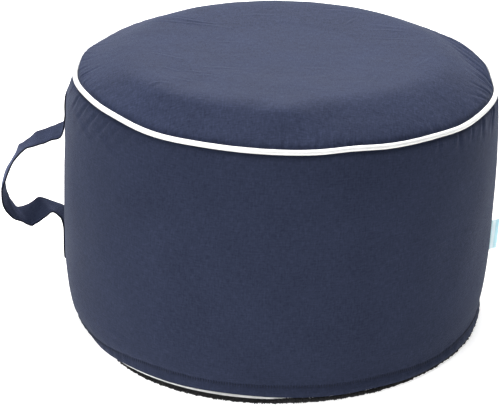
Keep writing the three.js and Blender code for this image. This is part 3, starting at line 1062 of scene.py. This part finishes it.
def makeBasePanel(table):
    angle = anglesRound(table["sides"])
    chance = np.random.default_rng(table["seed"])
    ragged = np.zeros_like(angle)
    for turns in table["raggedTurns"]:
        ragged += np.sin(np.radians(angle * turns) + chance.uniform(0, 6.3)) / 2.2
    tucks = bumps(cover["footTucks"], angle)
    top = table["edge"][-1][0]
    outline = []
    for height, inset in table["edge"]:
        near = bell(inset, 5.0)
        out = near * (bumps(table["tucks"], angle) + tucks + table["ragged"] * ragged)
        rise = height * (1.0 + bumps(table["turnUps"], angle) / top)
        rise += table["raggedUp"] * near * np.roll(ragged, 7) * ramp(height, 0.1, 1.5)
        outline.append((table["radius"] - inset + out, np.maximum(rise, 0.0)))
    outline += [(table["plugRadius"] + tucks, height) for height in (top, table["plugTop"])]
    rings = [asRows(*roundAxis(angle, radius), height) for radius, height in outline]
    sections = [(ring, ring[:, :2]) for ring in rings]
    piece = skinPiece("basePanel", sections, blackCloth)
    band = skinPiece("rimBand", sections[table["fuzzy"]], blackFibre, closed=False)
    fuzz = growPiece("baseFibres", band, edgeFibres, table["fibres"])
    print("base fibres:", len(fuzz.data.polygons), "faces")
    for part in (piece, fuzz):
        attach(part, "root")
    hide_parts("base_panel")


makeBasePanel(basePanel)
print("base made")

# Handle: a folded strap, sewn to the wall with a tab at each end, hanging in a kinked loop
handleStrap = {
    "width": 40.0,
    "thickness": 2.0,
    "standOff": 0.25,  # gap between a tab and the wall
    "top": 287.0,
    "foot": 65.5,
    "steps": 260,
    # distance out from the axis, height, and how far the front edge hangs below the back one
    "loop": [
        (266.3, 236, 3.6), (268.9, 232.8, 6), (279.5, 228.4, 6), (291.3, 222.5, 5), (300, 219.4, 2.7),
        (310.9, 212.9, -2.9), (317.2, 208.8, -3), (323.8, 203, 0), (330.4, 193.1, -2.7),
        (335.5, 184.3, -2.2), (339.7, 176.5, -0.9), (342, 171.4, 1.3), (344.8, 164.5, 1), (346.5, 157.6, 1),
        (346.1, 147.1, 1.7), (344.5, 137.4, 0.9), (339.4, 127.6, 1.7), (329.3, 119.1, 1.7),
        (318.5, 118.2, 10), (311.8, 119.2, 18.5), (306.8, 122, 21), (294.3, 126.2, 8.6),
        (285.1, 126.8, -0.5), (280, 125.8, -2.7), (273.6, 121.7, -1.2), (270.9, 115.3, 0),
    ],
    # how much further out the back edge is than the front one, and where that sets in
    "swing": 3.0,
    "swingReach": (270.0, 305.0),
    # heights where the tabs come to lie on the wall, how far out they can be, and the radius they wrap round
    "upperTab": (236, 244),
    "lowerTab": (104, 114),
    "tabReach": 276,
    "tabRadius": 267.0,
    # place along the strap at its front and at its back edge, rise, width: where it is bent in a fold
    "bends": [
        (232, 211, -1.4, 3.6), (262, 243, 2, 5), (103, 119, -1, 4), (222, 192, 0.9, 3), (84, 92, -0.6, 4),
        (60, 68, 0.7, 4),
    ],
    # places across the strap, from its front edge to its back edge
    "across": [
        -20, -19.75, -19.2, -18.2, -17.2, -16.6, -16, -15, -12, -8, -4, 0, 4, 8, 12, 15, 16, 16.6, 17.2,
        18.2, 19.2, 19.75, 20,
    ],
    "stitchAt": 16.6,
    "stitches": {
        "Pitch": 0.0034, "Length": 0.0027, "Thickness": 0.0006, "Height": 0.0006, "Material": navyThread,
    },
    # the sewn box on each tab: its length, and how far it is from the tab's end and from the edge stitches
    "boxLength": 33.0,
    "boxFrom": 4.0,
    "boxInset": 2.2,
}


# Distance out, height and hang along the strap, with a tab on the wall before and after the loop
def strapRows(table):
    loop = np.array(table["loop"])
    off = table["thickness"] / 2.0 + table["standOff"]
    tops = np.linspace(table["top"], loop[0, 1], 7)[:-1]
    feet = np.linspace(loop[-1, 1], table["foot"], 7)[1:]
    upper, lower = [asRows(off - wallSurface(180.0, heights)[:, 0], heights, 0.0) for heights in (tops, feet)]
    return np.concatenate([upper, loop, lower])


# Middle, direction across and direction through of the strap at each step, how much it lies on the wall,
# and the distance along it
def strapFrames(table):
    rows = strapRows(table)
    along = np.linspace(0.0, 1.0, table["steps"]) * pathLengths(rows)[-1]
    out, height, hang = pathAt(rows, along).T
    middle = asRows(-out, 0.0, height)
    ahead = np.gradient(middle, axis=0)
    ahead /= np.linalg.norm(ahead, axis=1)[:, None]
    across = asRows(-table["swing"] * ramp(out, *table["swingReach"]), table["width"], hang)
    across /= np.linalg.norm(across, axis=1)[:, None]
    through = np.cross(ahead, across)
    through /= np.linalg.norm(through, axis=1)[:, None]
    laid = np.maximum(ramp(height, *table["upperTab"]), 1 - ramp(height, *table["lowerTab"]))
    return middle, across, through, laid * (out < table["tabReach"]), along


def strapPoint(frames, table, side, lift):
    middle, across, through, laid, along = frames
    share = side / (table["width"] / 2.0)
    # a tab wraps round the wall, and the free strap cups a little across its width
    wrap = laid * side**2 / (2.0 * table["tabRadius"])
    cup = (1.0 - laid) * 0.9 * share**2 * np.sin(along * 0.045 + 0.6)
    ripple = (1.0 - laid) * 0.5 * share * np.sin(along * 0.11)
    bend = np.zeros_like(along)
    for front, back, rise, width in table["bends"]:
        line = front + (back - front) * (share + 1.0) / 2.0
        bend += rise * bell(along - line, width)
    place = middle + across * side + through * (lift + cup + ripple + (1.0 - laid) * bend)[:, None]
    place[:, 0] += wrap
    return place


# Half the strap's thickness: rounded at its edges, drawn in along its stitches
def strapHalf(table, side):
    half = table["thickness"] / 2.0
    edge = max(0.0, abs(side) - (table["width"] / 2.0 - half))
    rounded = half * math.sqrt(max(0.0, 1.0 - (edge / half) ** 2))
    return rounded * (1.0 - 0.32 * bell(abs(side) - table["stitchAt"], 0.9))


# Rows of stitches along both edges, and a box with a cross in it that holds each tab to the wall
def strapRuns(table, frames):
    along = frames[4]
    half = table["thickness"] / 2.0
    runs = []
    for side in (-table["stitchAt"], table["stitchAt"]):
        for face in (1.0, -1.0):
            runs.append(strapPoint(frames, table, side, face * (half * 0.72 + 0.12))[2:-2])
    # boxes are sewn through the outer face
    outer = 1.0 if frames[2][3][0] < 0 else -1.0
    wide = table["stitchAt"] - table["boxInset"]
    for start in (table["boxFrom"], along[-1] - table["boxFrom"] - table["boxLength"]):
        end = start + table["boxLength"]
        for first, last in ((start, start), (end, end), (start, end), (end, start)):
            run = []
            for share in np.linspace(0.0, 1.0, 30):
                near = strapPoint(frames, table, -wide + 2.0 * wide * share, outer * (half + 0.1))
                at = first + (last - first) * share
                run.append([np.interp(at, along, column) for column in near.T])
            runs.append(run)
    return runs


def makeHandleStrap(table):
    frames = strapFrames(table)
    along = frames[4]
    sides = table["across"]
    section = [(side, strapHalf(table, side)) for side in sides]
    section += [(side, -strapHalf(table, side)) for side in sides[-2:0:-1]]
    ends = 0.35 + 0.65 * between(along, -0.5, 2.0, along[-1] - 2.0, along[-1] + 0.5)
    columns = [strapPoint(frames, table, side, lift * ends) for side, lift in section]
    lengthRound = np.cumsum([0.0] + [abs(b[0] - a[0]) for a, b in zip(section, section[1:])])
    sections = [(ring, asRows(lengthRound, at)) for ring, at in zip(np.stack(columns, axis=1), along)]
    piece = skinPiece("handleStrap", sections, strapCloth, (2.0 * table["width"], 0.0))
    runs = strapRuns(table, frames)
    stitches = growPiece("handleStitches", addPaths(runs), stitchRows, table["stitches"])
    for part in (piece, stitches):
        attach(part, "root")
    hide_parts("handle_strap")
    print("strap length", round(float(along[-1])), "mm")


makeHandleStrap(handleStrap)
print("handle made")

# Tag: a folded tape caught in the wall's closing seam
sideTag = {
    "height": 41.0,
    "reach": 14.0,
    "thickness": 1.4,
    "middle": 96.0,
    "curl": -3.0,
    "tilt": 2.5,
    "rootDepth": 0.4,  # how far it goes into the seam
    # shares of its reach and of its height where it has points
    "shares": (0.0, 0.1, 0.25, 0.4, 0.55, 0.7, 0.82, 0.91, 0.97, 1.0),
    "levels": (0.0, 0.012, 0.04, 0.15, 0.3, 0.45, 0.6, 0.75, 0.88, 0.96, 0.988, 1.0),
}


def makeSideTag(table):
    levels = np.array(table["levels"])
    rootLow = table["middle"] - table["height"] / 2.0
    edge = np.clip(np.minimum(levels, 1.0 - levels) / 0.014, 0.0, 1.0)
    sections = []
    for share in table["shares"]:
        heights = rootLow + table["tilt"] * share + table["height"] * levels
        bend = -table["curl"] * share**2 + 0.5 * np.sin(levels * 5.0 + 0.7) * share
        # the fold at the far end is round
        half = table["thickness"] / 2.0 * math.sqrt(max(0.05, 1.0 - max(0.0, (share - 0.93) / 0.07) ** 2))
        half = half * (0.45 + 0.55 * edge)
        root = wallSurface(sideWall["seamAngle"], heights)[:, 0] - table["rootDepth"]
        x = root + (table["reach"] + 2.0 * table["rootDepth"]) * share
        back, front = [asRows(x, bend + away, heights) for away in (half, -half)]
        faceUv = asRows(share * table["reach"], heights - rootLow)
        sections.append([np.concatenate([back, front[::-1]]), np.concatenate([faceUv, faceUv[::-1]])])
    piece = skinPiece("sideTag", sections, tagTape)
    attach(piece, "root")
    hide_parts("side_tag")


makeSideTag(sideTag)
print("tag made")

# Pale floor that glows with painted light, and soft studio light
studio = {
    "floorSize": 60.0,
    "floorDark": (0.75, 0.75, 0.75),
    "floorLight": (0.79, 0.79, 0.79),
    "floorGlow": 1.0,  # painted light: the floor itself glows, most strongly round the front of the pouf, lighting its lower wall and filling the shade at its foot
    "glowAround": 0.57,
    "glowMiddle": (0.12, 0.50, 0.0),
    "glowReach": (0.2, 0.62),
    "farGlow": (0.45, 1.4, 5.0),  # painted light: how much more the floor glows from one distance to the other
    "air": (1.0, 1.0, 1.0, 1.0),
    "airStrength": 0.01,
    # name, place, aim, width, height, watts
    "lamps": [
        ("overhead", (-0.3, 0.2, 3.6), (0, 0, 0.3), 3.0, 3.0, 156.0),
        ("overBack", (-0.8, 1.6, 3.4), (0, 0, 0.3), 2.4, 2.0, 100.0),
        ("lowBack", (-0.3, 4.0, 2.1), (0, 0, 0.3), 4.0, 1.4, 168.0),
        ("leftBox", (-3.2, -0.9, 1.5), (0, 0, 0.2), 1.8, 2.0, 17.0),
        ("highFront", (-2.0, -2.4, 2.8), (0, 0, 0.3), 1.8, 1.6, 40.0),
        ("rightBack", (2.8, 2.2, 1.3), (0, 0, 0.2), 1.6, 2.0, 44.0),
    ],
}


def paintFloor(tree, table):
    place = objectPlace(tree)
    cloud = noiseOn(tree, place, 2.5, detail=4.0)
    moved = vectorMath(tree, "ADD", {0: place, 1: table["glowMiddle"]})
    away = vectorMath(tree, "LENGTH", {0: moved}, "Value")
    # painted light: emission pooled round the pouf, and more of it far off
    glow = smoothRange(tree, away, *table["glowReach"], table["floorGlow"], table["glowAround"])
    gain, near, far = table["farGlow"]
    distant = smoothRange(tree, away, near, far, 0.0, gain)
    return {
        "Base Color": rampColour(tree, cloud, (0.3, table["floorDark"]), (0.7, table["floorLight"])),
        "Roughness": 0.8,
        "Specular IOR Level": 0.2,
        "Emission Color": (1.0, 1.0, 1.0, 1.0),
        "Emission Strength": addMath(tree, "ADD", glow, distant),
    }


def makeStudio(table):
    half = table["floorSize"] / 2.0
    mesh = bpy.data.meshes.new("floor")
    corners = [(-half, -half, 0), (half, -half, 0), (half, half, 0), (-half, half, 0)]
    mesh.from_pydata(corners, [], [(0, 1, 2, 3)])
    mesh.materials.append(makeMaterial("paleFloor", paintFloor, table))
    addPiece("floor", mesh)
    for name, place, aim, width, height, watts in table["lamps"]:
        data = bpy.data.lights.new(name, "AREA")
        data.shape = "RECTANGLE"
        data.size = width
        data.size_y = height
        data.energy = watts
        lamp = addPiece(name, data)
        lamp.location = place
        lamp.rotation_euler = (Vector(aim) - Vector(place)).to_track_quat("-Z", "Y").to_euler()
    world = bpy.data.worlds.new("studioAir")
    world.use_nodes = True
    tree = world.node_tree
    # a white backdrop behind the floor's far edge, which lights nothing
    seen = outOf(tree, "ShaderNodeLightPath", output="Is Camera Ray")
    strength = addMath(tree, "MAXIMUM", seen, table["airStrength"])
    setSockets(tree, tree.nodes["Background"], {"Color": table["air"], "Strength": strength})
    scene.world = world
    scene.view_settings.view_transform = "Standard"
    scene.view_settings.look = "None"


makeStudio(studio)
print("studio lit")
